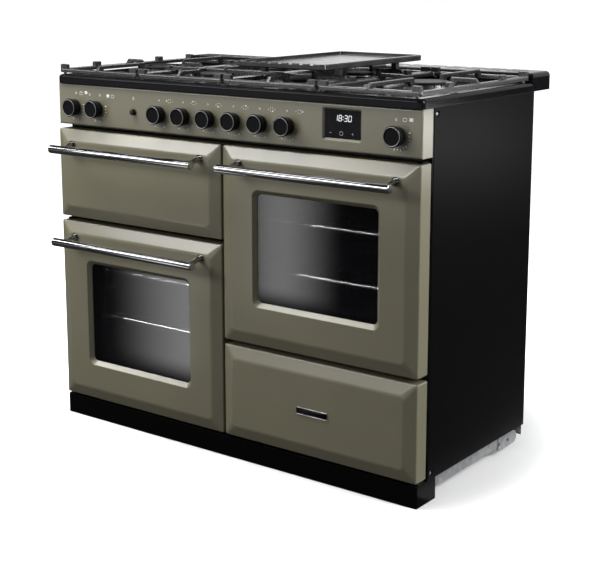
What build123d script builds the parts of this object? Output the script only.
from build123d import *
import os
from math import cos, radians, sin

os.makedirs("parts", exist_ok=True)

# Dual fuel range cooker in millimetres. +Z is up, the doors face -Y, +X is to the right of someone
# who stands in front, and the origin is on the floor under the middle of the outline.

# Overall sizes
WIDTH = 1092.0  # across the side panels
BODY_DEPTH = 608.0  # door faces to the back of the flue trim
CASING_DEPTH = 520.0  # door faces to the back of the side panels
HOB_HEIGHT = 905.0  # floor to the rim of the hotplate
SHEET = 1.5  # folded panels and door skins
TOUCH_GAP = 0.3  # between pieces that lie against each other without a joint
RUNNING_GAP = 0.05  # radial play of a pin or spindle in its bore

# Base
PLINTH_BOTTOM = 1.0
PLINTH_HEIGHT = 51.0
PLINTH_RETURN = 80.0  # side wings of the plinth
BASE_SHEET = 2.0
BASE_INSET = 6.0  # base frame behind the face of the side panels
BASE_BOTTOM = 23.5
BASE_SETBACK = 14.0  # base frame behind the face of the plinth
BASE_HOLES = (101.0, 225.0, 356.0)  # holes in the side skirts behind the face of the plinth
BASE_HOLE_DROP = 20.0  # the holes below the top of the base
BASE_HOLE_RADIUS = 2.5
FOOT_RADIUS = 18.0
FOOT_HEIGHT = 8.0
FOOT_STEM_RADIUS = 5.0
FOOT_INSET = 60.0
ROLLER_RADIUS = 17.0
ROLLER_WIDTH = 22.0
ROLLER_INSET = 34.0  # roller behind the side
ROLLER_FROM_BACK = 46.0
AXLE_RADIUS = 4.0
FORK_SHEET = 2.5
FORK_RADIUS = 14.0
ROLLER_PLATE = 2.0  # bracket on the skirt outside each roller
ROLLER_PLATE_LENGTH = 77.0
ROLLER_PLATE_RADIUS = 15.5
ROLLER_PLATE_BOTTOM = 16.0
ROLLER_PLATE_HOLE = 4.0
ROLLER_PLATE_HOLES = (29.0, 72.0)  # holes in the bracket in front of the axle
SIDE_FLANGE = 14.0
SCREW_RADIUS = 2.0
SCREW_HEAD_RADIUS = 4.2
SCREW_HEAD_HEIGHT = 1.6
SCREW_INSET = 14.0
SCREW_LENGTH = 10.0
DIMPLE_RADIUS = 7.0  # pressed dimple round a screw in a side panel
DIMPLE_FLOOR = 5.0
DIMPLE_DEPTH = 3.0
BACK_SCREW_INSET = 40.0
VENTS = 12  # in each row of the back panel
VENT_ROWS = (130.0, 330.0)  # above the base
VENT_MARGIN = 90.0
VENT_WIDTH = 8.0
VENT_HEIGHT = 60.0
TERMINAL_WIDTH = 110.0
TERMINAL_HEIGHT = 90.0
TERMINAL_INSET = 80.0
TERMINAL_RISE = 560.0  # terminal cover above the base
TERMINAL_DEPTH = 34.0
GLAND_RADIUS = 10.0
GLAND_WALL = 3.0
GLAND_LENGTH = 14.0

# Doors and drawer
COLUMN_GAP = 6.0  # between the two columns of doors
DOOR_SIDE_INSET = 1.0
DOOR_GAP = 12.0  # between doors, above and below
PLINTH_GAP = 6.0
SMALL_DOOR_HEIGHT = 228.0  # grill door and drawer
DOOR_DEPTH = 50.0
BEVEL_WIDTH = 30.0
BEVEL_DEPTH = 11.0
BEVEL_BLEND = 20.0  # soft bend between the flat and the bevel
BEVEL_EDGE = 3.0
EDGE_RADIUS = 4.0
FLAT_RADIUS = 14.0
WINDOW_WIDTH = 332.0
WINDOW_HEIGHT = 258.0
WINDOW_DROP = 105.0  # top of the window below the top of the door
WINDOW_RADIUS = 12.0
BEZEL_WIDTH = 10.0
BEZEL_DEPTH = 10.0
GLASS_THICKNESS = 4.0
GLASS_LAP = 9.0  # glass hidden behind the edge of the window
LINER_RETURN = 14.0
SEAL_GAP = 5.0  # back of the doors to the front frame
SEAL_WIDTH = 9.0
SEAL_OFFSET = 6.0  # seal outside the edge of the oven opening
FRAME_SHEET = 3.0

# Handles
HANDLE_DIAMETER = 21.0
HANDLE_LENGTH = 472.0
HANDLE_STANDOFF = 55.0  # middle of the bar in front of the door
HANDLE_DROP = 45.0  # middle of the bar below the top of the door
HANDLE_RISE = 7.0  # brackets climb this much from the bar to the door
BRACKET_INSET = 22.0
BRACKET_RADIUS = 6.5
BRACKET_FLAT = 1.6  # flat on the bar for each bracket
BRACKET_BASE_RADIUS = 10.0
BRACKET_BASE = 3.0

# Hinges
PIN_RADIUS = 4.0
PIN_LENGTH = 14.0
HINGE_INSET = 13.0  # oven hinge axis inside the door's outer edge
HINGE_DEPTH = 30.0  # hinge axes behind the door faces
HINGE_ARM = 3.0
HINGE_ARM_WIDTH = 16.0
HINGE_BLOCK = 14.0  # height of the bearing block in a door
GRILL_HINGE_RISE = 22.0  # grill hinge axis above the door's lower edge
GRILL_HINGE_INSET = 46.0
GRILL_ARM_RADIUS = 8.0
GRILL_LINER_STEP = 4.0  # pressed middle of the grill door's tray
GRILL_BACK_RELIEF = 12.0  # trimmed off the lower back edge so that the door can turn

# Control panel
PANEL_HEIGHT = 104.0
PANEL_SETBACK = 12.0  # control panel and plinth behind the door faces
PANEL_GAP = 0.5
PANEL_RADIUS = 4.0
CONTROL_EDGE = 14.0  # front frame left round the opening behind the panel
KNOB_DROP = 6.5  # knobs below the middle of the panel
KNOB_RADIUS = 23.0
KNOB_LENGTH = 25.0
KNOB_CLEARANCE = 0.8
HOB_KNOB_PITCH = 77.6
HOB_KNOB_OFFSET = -3.0
LEFT_KNOB_INSET = 60.0
LEFT_KNOB_PITCH = 78.0
RIGHT_KNOB_INSET = 62.0
BUTTON_OFFSET = 85.0  # light button to the left of the first hob knob
BUTTON_RADIUS = 7.5
BUTTON_LENGTH = 9.0
BUTTON_TRAVEL = 3.0
BUTTON_BORE = 18.0
BUTTON_SWITCH = 20.0
SPINDLE_RADIUS = 3.0
SPINDLE_REACH = 14.0  # spindle inside its tap or switch
SPINDLE_HOLE = 4.0
CLOCK_WIDTH = 95.0
CLOCK_HEIGHT = 63.0
CLOCK_INSET = 205.5  # middle of the clock from the right side
CLOCK_RISE = 7.0  # middle of the clock above the middle of the panel
CLOCK_SINK = 4.0  # clock face behind the face of the panel
CLOCK_LIP = 4.5  # sloping lip round the clock
CLOCK_RADIUS = 2.0
CLOCK_LAP = 4.0  # clock module behind the edge of its opening
CLOCK_DEPTH = 24.0

# Hotplate, burners and pan supports
HOB_EDGE = 22.0
HOB_OVERHANG = 4.0  # hotplate in front of the control panel
HOB_NOSE = 8.0
HOB_CORNER = 14.0
HOB_SHEET = 2.0
HOB_BACK_SETBACK = 98.0  # hotplate's back edge in front of the flue trim's back
HOB_RIM = 26.0
WELL_DEPTH = 5.0
WELL_RADIUS = 20.0
FLUE_RISE = 22.0
FLUE_RADIUS = 11.0
FLUE_SLOTS = 18
FLUE_SLOT_WIDTH = 12.0
FLUE_BRIDGE = 16.0  # between slots
FLUE_ROW = 16.0  # rows of slots on each side of the middle
FLUE_MARGIN = 40.0
SUPPORT_INSET = 5.0  # pan supports inside the edge of the hotplate
SUPPORT_GAP = 2.0
SUPPORT_RADIUS = 8.0
SUPPORT_INNER_RADIUS = 6.0
RAIL_WIDTH = 13.0
RAIL_HEIGHT = 10.0
RAIL_RADIUS = 3.5
RAIL_LIFT = 5.0  # rails above the hotplate's rim
PAN_RISE = 26.0  # pans above the hotplate's rim
LEG_RADIUS = 4.0
LUG_LENGTH = 21.0
LUG_INSET = 13.5  # middle of a lug from the end of its rail
FINGER_WIDTH = 8.0
FINGER_CLEARANCE = 12.0  # finger tips outside the burner
BURNER_SPREAD = 119.7  # front and rear burners from the middle of their column
BURNER_RADII = (64.0, 36.0, 42.0, 36.0, 42.0, 50.0)
BURNER_HEIGHT = 13.0
BURNER_CUP = 26.0
BURNER_SLOTS = 18
BURNER_SLOT_WIDTH = 3.2
BURNER_SLOT_DEPTH = 5.0
BURNER_SLOT_HEIGHT = 6.0
BURNER_FLANGE = 4.0  # foot of a burner beyond its wall
BURNER_FLANGE_HEIGHT = 3.0
CAP_HEIGHT = 6.0
CAP_LAP = 2.0  # cap beyond the wall of its burner
CUP_INSET = 10.0  # burner cup inside the burner's edge
RING_WIDTH = 18.0  # outer flame ring of the wok burner
RING_FLOOR = 5.0
ELECTRODE_RADIUS = 2.5
ELECTRODE_HEIGHT = 14.0
ELECTRODE_GAP = 4.0
GRIDDLE_WIDTH = 250.0
GRIDDLE_DEPTH = 425.0
GRIDDLE_HEIGHT = 14.0
GRIDDLE_RADIUS = 14.0
GRIDDLE_RIM = 7.0
GRIDDLE_FLOOR = 5.0
GRIDDLE_GROOVE = 9.0  # drain groove inside the rim
GRIDDLE_LIFT = 16.0  # griddle feet
GRIDDLE_SHIFT = 8.0
GRIDDLE_NOTCHES = 7

# Gas
GAS_RAIL_RADIUS = 9.0
GAS_RAIL_DEPTH = 44.0  # gas rail behind the face of the control panel
GAS_RAIL_END = 30.0  # gas rail beyond the last tap
GAS_PIPE_INSET = 44.0
GAS_BEND = 30.0
GAS_INLET_RADIUS = 9.3  # bore of the half-inch inlet
GAS_INLET_BODY = 14.0
GAS_INLET_LENGTH = 26.0
GAS_INLET_DEPTH = 16.0
GAS_INLET_OUT = 40.0  # end of the inlet behind the back panel
TAP_RADIUS = 11.0
TAP_OUTLET = 16.0
TUBE_RADIUS = 4.0
TUBE_RUN = 24.0  # burner tubes above the taps' axis
SWITCH_SIZE = 36.0
SWITCH_DEPTH = 30.0

# Ovens, grill and drawer
OVEN_INSET = 60.0  # insulation between a door's edges and the oven opening, at the sides
OVEN_MARGIN = 46.0  # the same above and below
GRILL_MARGIN = 34.0
OVEN_RADIUS = 16.0
LINER_SHEET = 2.0
LINER_FLANGE = 14.0
LINER_SPACE = 56.0  # behind the ovens
RUNGS = 8
RUNG_FIRST = 26.0
RUNG_PITCH = 41.0
RUNG_RADIUS = 2.5
UPRIGHT_RADIUS = 3.0
LADDER_OFFSET = 8.0
LADDER_MARGIN = 30.0
LEFT_SHELVES = (3, 6)
RIGHT_SHELVES = (2, 5)
SHELF_RADIUS = 3.0
SHELF_WIRE = 2.0
SHELF_WIRES = 8
SHELF_FRONT = 26.0
SHELF_BACK = 64.0
ELEMENT_RADIUS = 3.5
ELEMENT_DROP = 20.0
ELEMENT_INSET = 50.0
ELEMENT_PITCH = 46.0
FAN_SPACE = 44.0  # fan cover in front of the oven's back wall
FAN_RADIUS = 62.0
FAN_BLADES = 8
FAN_WIDTH = 24.0
FAN_SHAFT_RADIUS = 4.0
FAN_COVER_INSET = 26.0
FAN_SLOTS = 12
RING_RADIUS = 82.0
GRILL_LEDGE = 14.0
GRILL_LEDGE_RISE = 26.0
GRILL_LEDGE_START = 12.0  # ledge behind the front frame
CARRIAGE_RADIUS = 4.0
GRILL_PAN_HEIGHT = 32.0
GRILL_PAN_INSET = 34.0
GRILL_PAN_DEPTH = 320.0
GRILL_PAN_FRONT = 30.0
GRILL_PAN_RADIUS = 16.0
GRILL_PAN_RIM = 6.0
TRIVET_INSET = 16.0
TRIVET_DROP = 6.0  # bars below the rim of the pan
TRIVET_BAR_RADIUS = 2.5
TRIVET_BAR_INSET = 20.0
TRIVET_LEG_INSET = 12.0
TRIVET_WIRES = 10
TRIVET_WIRE_RADIUS = 2.0
TRIVET_WIRE_INSET = 6.0
TRIVET_WIRE_RISE = 3.0  # wires above the bars
DRAWER_SIDE = 62.0
DRAWER_FLOOR = 22.0  # drawer box above the drawer front's lower edge
DRAWER_WALL = 140.0
DRAWER_LENGTH = 400.0
DRAWER_RUNNER = 8.0
DRAWER_RUNNER_HEIGHT = 14.0
DRAWER_RUNNER_RISE = 60.0
DRAWER_PLAY = 0.5
RAIL_SHEET = 2.0
RAIL_LEG = 40.0
RAIL_LEG_INSET = 20.0

# Positions that follow from the sizes
HALF = WIDTH / 2
FRONT = (HANDLE_STANDOFF + HANDLE_DIAMETER / 2 - BODY_DEPTH) / 2
BACK = FRONT + BODY_DEPTH
DOOR_BACK = FRONT + DOOR_DEPTH
FRAME_FRONT = DOOR_BACK + SEAL_GAP
FRAME_BACK = FRAME_FRONT + FRAME_SHEET
SIDE_BACK = FRONT + CASING_DEPTH
PANEL_FRONT = FRONT + PANEL_SETBACK
BASE_FRONT = PANEL_FRONT + BASE_SETBACK
PLINTH_TOP = PLINTH_BOTTOM + PLINTH_HEIGHT
HOB_UNDER = HOB_HEIGHT - HOB_EDGE
PANEL_TOP = HOB_UNDER - PANEL_GAP
PANEL_BOTTOM = PANEL_TOP - PANEL_HEIGHT
PANEL_MIDDLE = (PANEL_TOP + PANEL_BOTTOM) / 2
DOOR_TOP = PANEL_BOTTOM - DOOR_GAP
DOOR_BOTTOM = PLINTH_TOP + PLINTH_GAP
GRILL_BOTTOM = DOOR_TOP - SMALL_DOOR_HEIGHT
LEFT_OVEN_TOP = GRILL_BOTTOM - DOOR_GAP
DRAWER_TOP = DOOR_BOTTOM + SMALL_DOOR_HEIGHT
RIGHT_OVEN_BOTTOM = DRAWER_TOP + DOOR_GAP
HINGE_Y = FRONT + HINGE_DEPTH
LINER_BACK = SIDE_BACK - LINER_SPACE
KNOB_Z = PANEL_MIDDLE - KNOB_DROP
HOB_FRONT = PANEL_FRONT - HOB_OVERHANG
HOB_BACK = BACK - HOB_BACK_SETBACK
WELL_FLOOR = HOB_HEIGHT - WELL_DEPTH
RAIL_BOTTOM = HOB_HEIGHT + RAIL_LIFT
RAIL_TOP = RAIL_BOTTOM + RAIL_HEIGHT
PAN_TOP = HOB_HEIGHT + PAN_RISE
SUPPORT_FRONT = HOB_FRONT + SUPPORT_INSET
SUPPORT_BACK = HOB_BACK - SUPPORT_INSET
SUPPORT_MIDDLE = (SUPPORT_FRONT + SUPPORT_BACK) / 2
SUPPORT_PITCH = (WIDTH - 2 * SUPPORT_INSET) / 4
GAS_RAIL_Y = PANEL_FRONT + GAS_RAIL_DEPTH
SWITCH_FRONT = PANEL_FRONT + SHEET
ROLLER_Y = SIDE_BACK - ROLLER_FROM_BACK
TERMINAL_RIGHT = HALF - TERMINAL_INSET
TERMINAL_BOTTOM = PLINTH_TOP + TERMINAL_RISE
TERMINAL_TOP = TERMINAL_BOTTOM + TERMINAL_HEIGHT
TERMINAL = (TERMINAL_RIGHT - TERMINAL_WIDTH, TERMINAL_RIGHT, TERMINAL_BOTTOM, TERMINAL_TOP)

# Doors as (left, right, bottom, top)
LEFT_EDGES = (-HALF + DOOR_SIDE_INSET, -COLUMN_GAP / 2)
RIGHT_EDGES = (COLUMN_GAP / 2, HALF - DOOR_SIDE_INSET)
GRILL_DOOR = (*LEFT_EDGES, GRILL_BOTTOM, DOOR_TOP)
LEFT_DOOR = (*LEFT_EDGES, DOOR_BOTTOM, LEFT_OVEN_TOP)
RIGHT_DOOR = (*RIGHT_EDGES, RIGHT_OVEN_BOTTOM, DOOR_TOP)
DRAWER = (*RIGHT_EDGES, DOOR_BOTTOM, DRAWER_TOP)

# Knobs by name with their X
HOB_KNOBS = [HOB_KNOB_OFFSET + (i - 2.5) * HOB_KNOB_PITCH for i in range(6)]
LEFT_KNOBS = [-HALF + LEFT_KNOB_INSET + i * LEFT_KNOB_PITCH for i in range(2)]
OVEN_KNOBS = [*LEFT_KNOBS, HALF - RIGHT_KNOB_INSET]
BUTTON_X = HOB_KNOBS[0] - BUTTON_OFFSET
CLOCK_X = HALF - CLOCK_INSET
CLOCK_Z = PANEL_MIDDLE + CLOCK_RISE
CLOCK = (
    CLOCK_X - CLOCK_WIDTH / 2,
    CLOCK_X + CLOCK_WIDTH / 2,
    CLOCK_Z - CLOCK_HEIGHT / 2,
    CLOCK_Z + CLOCK_HEIGHT / 2,
)

# Burners from left to right, front before rear, each as (x, y, radius)
BURNER_SPOTS = [
    (-1.5 * SUPPORT_PITCH, SUPPORT_MIDDLE),
    (-0.5 * SUPPORT_PITCH, SUPPORT_MIDDLE - BURNER_SPREAD),
    (-0.5 * SUPPORT_PITCH, SUPPORT_MIDDLE + BURNER_SPREAD),
    (0.5 * SUPPORT_PITCH, SUPPORT_MIDDLE - BURNER_SPREAD),
    (0.5 * SUPPORT_PITCH, SUPPORT_MIDDLE + BURNER_SPREAD),
    (1.5 * SUPPORT_PITCH, SUPPORT_MIDDLE),
]
BURNERS = [(*spot, radius) for spot, radius in zip(BURNER_SPOTS, BURNER_RADII)]


ON_BASE = (Align.CENTER, Align.CENTER, Align.MIN)


def save(node, *shapes):
    """Write the solids of one node."""
    solids = [solid for shape in shapes for solid in shape.solids()]
    export_step(Compound(solids), f"parts/{node}.step")


def slab(x0, x1, y0, y1, z0, z1):
    """Box between two opposite corners."""
    box = Box(x1 - x0, y1 - y0, z1 - z0)
    return Pos((x0 + x1) / 2, (y0 + y1) / 2, (z0 + z1) / 2) * box


def bar_x(x0, x1, y, z, radius):
    """Round bar along X."""
    return Pos((x0 + x1) / 2, y, z) * Rot(0, 90, 0) * Cylinder(radius, x1 - x0)


def bar_y(x, y0, y1, z, radius):
    """Round bar along Y."""
    return Pos(x, (y0 + y1) / 2, z) * Rot(90, 0, 0) * Cylinder(radius, y1 - y0)


def bar_z(x, y, z0, z1, radius):
    """Round bar along Z."""
    return Pos(x, y, (z0 + z1) / 2) * Cylinder(radius, z1 - z0)


def upright_plane(y):
    """Plane at depth y that faces the front, with X to the right and Z up."""
    return Plane(origin=(0, y, 0), x_dir=(1, 0, 0), z_dir=(0, -1, 0))


def rounded(y, x0, x1, z0, z1, radius):
    """Upright rounded rectangle at depth y."""
    outline = RectangleRounded(x1 - x0, z1 - z0, radius)
    return upright_plane(y) * (Pos((x0 + x1) / 2, (z0 + z1) / 2) * outline)


def prism_y(y0, y1, x0, x1, z0, z1, radius):
    """Rounded rectangle drawn out from y0 to y1."""
    return extrude(rounded(y0, x0, x1, z0, z1, radius), amount=y1 - y0, dir=(0, 1, 0))


def plate_z(z0, z1, x0, x1, y0, y1, radius):
    """Rounded plate lying flat."""
    outline = RectangleRounded(x1 - x0, y1 - y0, radius)
    return Pos((x0 + x1) / 2, (y0 + y1) / 2, z0) * extrude(outline, amount=z1 - z0)


def tube(points, bend, radius):
    """Round rod along straight runs joined by bends."""
    path = Polyline(*points)
    if bend:
        path = FilletPolyline(*points, radius=bend)
    start = Plane(origin=path @ 0, z_dir=path % 0)
    return sweep(start * Circle(radius), path=path)


def window_of(door):
    """Window of an oven door as (left, right, bottom, top)."""
    middle = (door[0] + door[1]) / 2
    top = door[3] - WINDOW_DROP
    return (middle - WINDOW_WIDTH / 2, middle + WINDOW_WIDTH / 2, top - WINDOW_HEIGHT, top)


def grown(box, by):
    """The same rectangle with its edges moved out."""
    return (box[0] - by, box[1] + by, box[2] - by, box[3] + by)


def chamber_of(door, margin):
    """Opening of the chamber behind a door."""
    return (door[0] + OVEN_INSET, door[1] - OVEN_INSET, door[2] + margin, door[3] - margin)


LEFT_OVEN = chamber_of(LEFT_DOOR, OVEN_MARGIN)
RIGHT_OVEN = chamber_of(RIGHT_DOOR, OVEN_MARGIN)
GRILL = chamber_of(GRILL_DOOR, GRILL_MARGIN)
DRAWER_BOX = (
    DRAWER[0] + DRAWER_SIDE,
    DRAWER[1] - DRAWER_SIDE,
    DRAWER[2] + DRAWER_FLOOR,
    DRAWER[2] + DRAWER_FLOOR + DRAWER_WALL,
)
DRAWER_OPENING = grown(DRAWER_BOX, DRAWER_RUNNER + 2 * RAIL_SHEET)
RUNNER_Z = DRAWER_BOX[2] + DRAWER_RUNNER_RISE


# Base, casing and frame
def roller_forks():
    """Pairs of fork plates with their axle, one pair for each rear roller."""
    y = ROLLER_Y
    top = PLINTH_TOP - BASE_SHEET
    forks = []
    for side in (-1, 1):
        middle = side * (HALF - ROLLER_INSET)
        half = ROLLER_WIDTH / 2 + 1
        for edge in (middle - half - FORK_SHEET, middle + half):
            plate = slab(edge, edge + FORK_SHEET, y - FORK_RADIUS, y + FORK_RADIUS, ROLLER_RADIUS, top)
            forks.append(plate + bar_x(edge, edge + FORK_SHEET, y, ROLLER_RADIUS, FORK_RADIUS))
        forks.append(bar_x(middle - half, middle + half, y, ROLLER_RADIUS, AXLE_RADIUS))
    return forks


def roller_plates():
    """Bracket on each side skirt, with a round end outside the roller."""
    x = HALF - BASE_INSET
    top = PLINTH_TOP - BASE_SHEET
    plates = []
    for side in (-1, 1):
        ends = sorted((side * (x - BASE_SHEET), side * (x + ROLLER_PLATE)))
        plate = slab(*ends, ROLLER_Y - ROLLER_PLATE_LENGTH, ROLLER_Y, ROLLER_PLATE_BOTTOM, top)
        plate += bar_x(*ends, ROLLER_Y, ROLLER_PLATE_BOTTOM + ROLLER_PLATE_RADIUS, ROLLER_PLATE_RADIUS)
        plates.append(plate)
    return plates


def base_frame():
    """Galvanised base: a plate with folded skirts, and the brackets and forks of the rear rollers."""
    x = HALF - BASE_INSET
    under = PLINTH_TOP - BASE_SHEET
    frame = slab(-x, x, BASE_FRONT, SIDE_BACK, BASE_BOTTOM, PLINTH_TOP)
    inner_x = x - BASE_SHEET
    inner_y = (BASE_FRONT + BASE_SHEET, SIDE_BACK - BASE_SHEET)
    frame -= slab(-inner_x, inner_x, *inner_y, BASE_BOTTOM - 1, under)
    notch_front = ROLLER_Y - 2 * FORK_RADIUS
    frame -= slab(-x - 1, x + 1, notch_front, SIDE_BACK - BASE_SHEET, BASE_BOTTOM - 1, under)
    for piece in (*roller_plates(), *roller_forks()):
        frame += piece
    holes = [(PANEL_FRONT + depth, BASE_HOLE_RADIUS) for depth in BASE_HOLES]
    holes += [(ROLLER_Y - ahead, ROLLER_PLATE_HOLE) for ahead in ROLLER_PLATE_HOLES]
    for y, radius in holes:
        for side in (-1, 1):
            ends = sorted((side * (x + ROLLER_PLATE + 1), side * (x - BASE_SHEET - 1)))
            frame -= bar_x(*ends, y, PLINTH_TOP - BASE_HOLE_DROP, radius)
    return frame


def levelling_feet():
    """Two screw feet at the front."""
    feet = []
    for side in (-1, 1):
        x = side * (HALF - FOOT_INSET)
        y = BASE_FRONT + FOOT_INSET
        foot = bar_z(x, y, 0, FOOT_HEIGHT, FOOT_RADIUS)
        foot = fillet(foot.edges().group_by(Axis.Z)[-1], 2)
        feet.append(foot + bar_z(x, y, FOOT_HEIGHT / 2, PLINTH_TOP - BASE_SHEET, FOOT_STEM_RADIUS))
    return feet


def rear_rollers():
    """Two rollers that turn on the fork axles."""
    y = ROLLER_Y
    rollers = []
    for side in (-1, 1):
        x0 = side * (HALF - ROLLER_INSET) - ROLLER_WIDTH / 2
        wheel = bar_x(x0, x0 + ROLLER_WIDTH, y, ROLLER_RADIUS, ROLLER_RADIUS)
        wheel = chamfer(wheel.edges().filter_by(GeomType.CIRCLE), 1)
        bore = bar_x(x0 - 1, x0 + ROLLER_WIDTH + 1, y, ROLLER_RADIUS, AXLE_RADIUS + RUNNING_GAP)
        rollers.append(wheel - bore)
    return rollers


def plinth():
    """Folded kick panel with a flange on top and a wing on each side."""
    body = slab(-HALF, HALF, PANEL_FRONT, PANEL_FRONT + PLINTH_RETURN, PLINTH_BOTTOM, PLINTH_TOP)
    front_edges = body.edges().filter_by(Axis.Z).group_by(Axis.Y)[0]
    body = fillet(front_edges, PANEL_RADIUS)
    inner = HALF - SHEET
    inside = slab(-inner, inner, PANEL_FRONT + SHEET, BACK, PLINTH_BOTTOM - 1, PLINTH_TOP + 1)
    body -= fillet(inside.edges().filter_by(Axis.Z).group_by(Axis.Y)[0], PANEL_RADIUS - SHEET)
    flange_x = HALF - PANEL_RADIUS - 1
    flange_y = (PANEL_FRONT + SHEET / 2, BASE_FRONT)
    return body + slab(-flange_x, flange_x, *flange_y, PLINTH_TOP - SHEET, PLINTH_TOP)


def screw_spots():
    """Depth and height of the screws at the front of a side panel."""
    y = FRAME_BACK + SCREW_INSET
    return [(y, PLINTH_TOP + SCREW_INSET), (y, HOB_UNDER - SCREW_INSET)]


def dimple(side, y, z, wall):
    """Cone that runs in from the face of a side panel, with a wall added round it."""
    cone = Cone(DIMPLE_RADIUS + wall, DIMPLE_FLOOR + wall, DIMPLE_DEPTH + wall, align=ON_BASE)
    return Plane(origin=(side * HALF, y, z), z_dir=(-side, 0, 0)) * cone


def back_screw_spots():
    """Screws round the back panel, through the side panels' rear flanges."""
    x = HALF - SIDE_FLANGE / 2
    rows = [PLINTH_TOP + BACK_SCREW_INSET, (PLINTH_TOP + HOB_UNDER) / 2, HOB_UNDER - BACK_SCREW_INSET]
    return [(side * x, z) for side in (-1, 1) for z in rows]


def side_panels():
    """Folded panels with a flange on all four edges."""
    panels = []
    for side in (-1, 1):
        outer, inner = side * HALF, side * (HALF - SIDE_FLANGE)
        face = side * (HALF - SHEET)
        panel = slab(*sorted((outer, inner)), FRAME_BACK, SIDE_BACK, PLINTH_TOP, HOB_UNDER)
        panel = fillet(panel.edges().filter_by(Axis.Z).group_by(Axis.X)[-1 if side > 0 else 0], 2)
        edges_y = (FRAME_BACK + SHEET, SIDE_BACK - SHEET)
        edges_z = (PLINTH_TOP + SHEET, HOB_UNDER - SHEET)
        panel -= slab(*sorted((face, inner - side)), *edges_y, *edges_z)
        for y, z in screw_spots():
            panel = panel + dimple(side, y, z, SHEET) - dimple(side, y, z, 0)
            panel -= bar_x(*sorted((outer, inner)), y, z, SCREW_RADIUS + TOUCH_GAP)
        for x, z in back_screw_spots():
            panel -= bar_y(x, SIDE_BACK - SHEET - 1, SIDE_BACK + 1, z, SCREW_RADIUS + TOUCH_GAP)
        panels.append(panel)
    return panels


def back_panel():
    """Rear sheet with vents, the gas pipe's hole and a terminal cover with a cable gland."""
    x = HALF - SHEET
    rear = SIDE_BACK + SHEET
    panel = slab(-x, x, SIDE_BACK, rear, PLINTH_TOP, HOB_UNDER)
    cover = slab(*TERMINAL[:2], rear - SHEET / 2, rear + TERMINAL_DEPTH, *TERMINAL[2:])
    inside = grown(TERMINAL, -SHEET)
    panel += cover
    panel -= slab(*inside[:2], SIDE_BACK - 1, rear + TERMINAL_DEPTH - SHEET, *inside[2:])
    gland = ((TERMINAL[0] + TERMINAL[1]) / 2, rear + TERMINAL_DEPTH / 2)
    gland_end = TERMINAL[2] - GLAND_LENGTH
    panel += bar_z(*gland, gland_end, TERMINAL[2] + SHEET / 2, GLAND_RADIUS + GLAND_WALL)
    panel -= bar_z(*gland, gland_end - 1, TERMINAL[2] + SHEET + 1, GLAND_RADIUS)
    through = (SIDE_BACK - 1, rear + 1)
    pitch = (WIDTH - 2 * VENT_MARGIN) / (VENTS - 1)
    holes = []
    for row in VENT_ROWS:
        z = PLINTH_TOP + row
        for i in range(VENTS):
            left = -HALF + VENT_MARGIN + i * pitch - VENT_WIDTH / 2
            holes.append(slab(left, left + VENT_WIDTH, *through, z, z + VENT_HEIGHT))
    holes.append(bar_y(GAS_PIPE_INSET - HALF, *through, KNOB_Z, GAS_RAIL_RADIUS + TOUCH_GAP))
    for screw_x, z in back_screw_spots():
        holes.append(bar_y(screw_x, *through, z, SCREW_RADIUS + TOUCH_GAP))
    return panel - holes


def casing_screws():
    """Pan-head screws in the side panels' dimples and in the back panel."""
    head = Cylinder(SCREW_HEAD_RADIUS, SCREW_HEAD_HEIGHT, align=ON_BASE)
    head = fillet(head.edges().group_by(Axis.Z)[-1], SCREW_HEAD_HEIGHT * 0.7)
    screw = head + Pos(0, 0, -SCREW_LENGTH / 2) * Cylinder(SCREW_RADIUS, SCREW_LENGTH)
    screws = []
    for side in (-1, 1):
        for y, z in screw_spots():
            place = Plane(origin=(side * (HALF - DIMPLE_DEPTH), y, z), z_dir=(side, 0, 0))
            screws.append(place * screw)
    for x, z in back_screw_spots():
        screws.append(Plane(origin=(x, SIDE_BACK + SHEET, z), z_dir=(0, 1, 0)) * screw)
    return screws


def front_frame():
    """Flat stiles and rails behind the doors, round an opening for each chamber and for the controls."""
    x = HALF - DOOR_SIDE_INSET
    low, high = PANEL_BOTTOM + CONTROL_EDGE, PANEL_TOP - CONTROL_EDGE
    drawer = DRAWER_OPENING
    strips = [
        (-x, LEFT_OVEN[0], PLINTH_TOP, low),
        (LEFT_OVEN[1], drawer[0], PLINTH_TOP, low),
        (drawer[0], RIGHT_OVEN[0], drawer[3], low),
        (RIGHT_OVEN[1], drawer[1], drawer[3], low),
        (drawer[1], x, PLINTH_TOP, low),
        (*LEFT_OVEN[:2], PLINTH_TOP, LEFT_OVEN[2]),
        (*LEFT_OVEN[:2], LEFT_OVEN[3], GRILL[2]),
        (*LEFT_OVEN[:2], GRILL[3], low),
        (*drawer[:2], PLINTH_TOP, drawer[2]),
        (*RIGHT_OVEN[:2], drawer[3], RIGHT_OVEN[2]),
        (*RIGHT_OVEN[:2], RIGHT_OVEN[3], low),
        (-x, CONTROL_EDGE - x, low, high),
        (x - CONTROL_EDGE, x, low, high),
        (-x, x, high, HOB_UNDER),
    ]
    return [slab(x0, x1, FRAME_FRONT, FRAME_BACK, z0, z1) for x0, x1, z0, z1 in strips]


# Doors, drawer and handles
def pressing(box, y0, y1, blend, edge):
    """Pressed front: a flat face, a bevel that falls back to the edge, and straight returns."""
    outline = rounded(y0 + BEVEL_DEPTH, *box, EDGE_RADIUS)
    face = rounded(y0, *grown(box, -BEVEL_WIDTH), FLAT_RADIUS)
    body = extrude(outline, amount=y1 - y0 - BEVEL_DEPTH, dir=(0, 1, 0)) + loft([outline, face])
    body = fillet(body.edges().filter_by_position(Axis.Y, y0 - 0.01, y0 + 0.01), blend)
    rim_y = y0 + BEVEL_DEPTH
    return fillet(body.edges().filter_by_position(Axis.Y, rim_y - 0.01, rim_y + 0.01), edge)


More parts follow.
